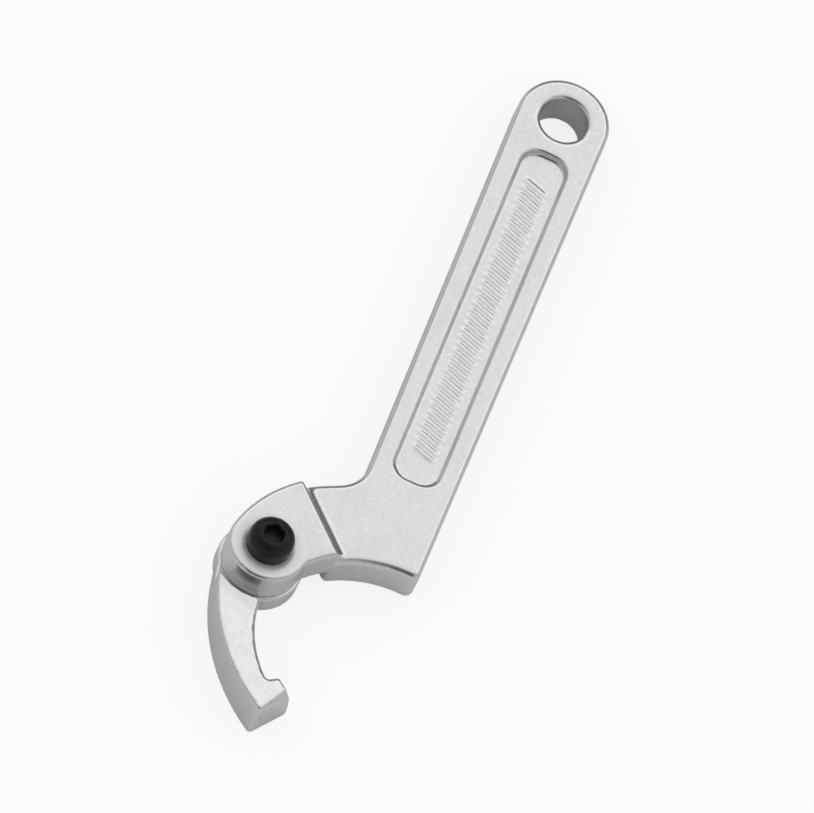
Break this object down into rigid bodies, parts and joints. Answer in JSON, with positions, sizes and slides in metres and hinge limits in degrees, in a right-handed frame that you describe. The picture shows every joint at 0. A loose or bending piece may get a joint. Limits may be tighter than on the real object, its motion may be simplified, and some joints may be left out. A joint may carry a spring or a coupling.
{
  "type": "adjustable hook spanner",
  "caption": "Adjustable hook spanner: flat forged handle with hang hole and sunk panel, swinging curved hook with a square tooth, screw pivot.",
  "frame": {"origin": "centre of the hang hole on the rear face of the handle", "axes": "+X along the handle from the hook end to the hang hole end, +Z out of the front face, along the hang hole and the pivot"},
  "size_m": [0.1715, 0.0408, 0.0166],
  "materials": {
    "satin_chrome": "satin nickel-chrome plate over a fine forged and blasted surface",
    "black_oxide": "black oxide, oiled, low sheen"
  },
  "bodies": {
    "handle_body": {"handle": "satin_chrome", "pivot_screw": "black_oxide", "pivot_nut": "black_oxide"},
    "hook_body": {"hook": "satin_chrome"}
  },
  "joints": [
    {"name": "hook_pivot", "type": "hinge", "parent": "handle_body", "child": "hook_body", "pos_m": [-0.1259, 0.022, 0], "axis": [0, 0, 1], "range_deg": [-100, 74]}
  ]
}
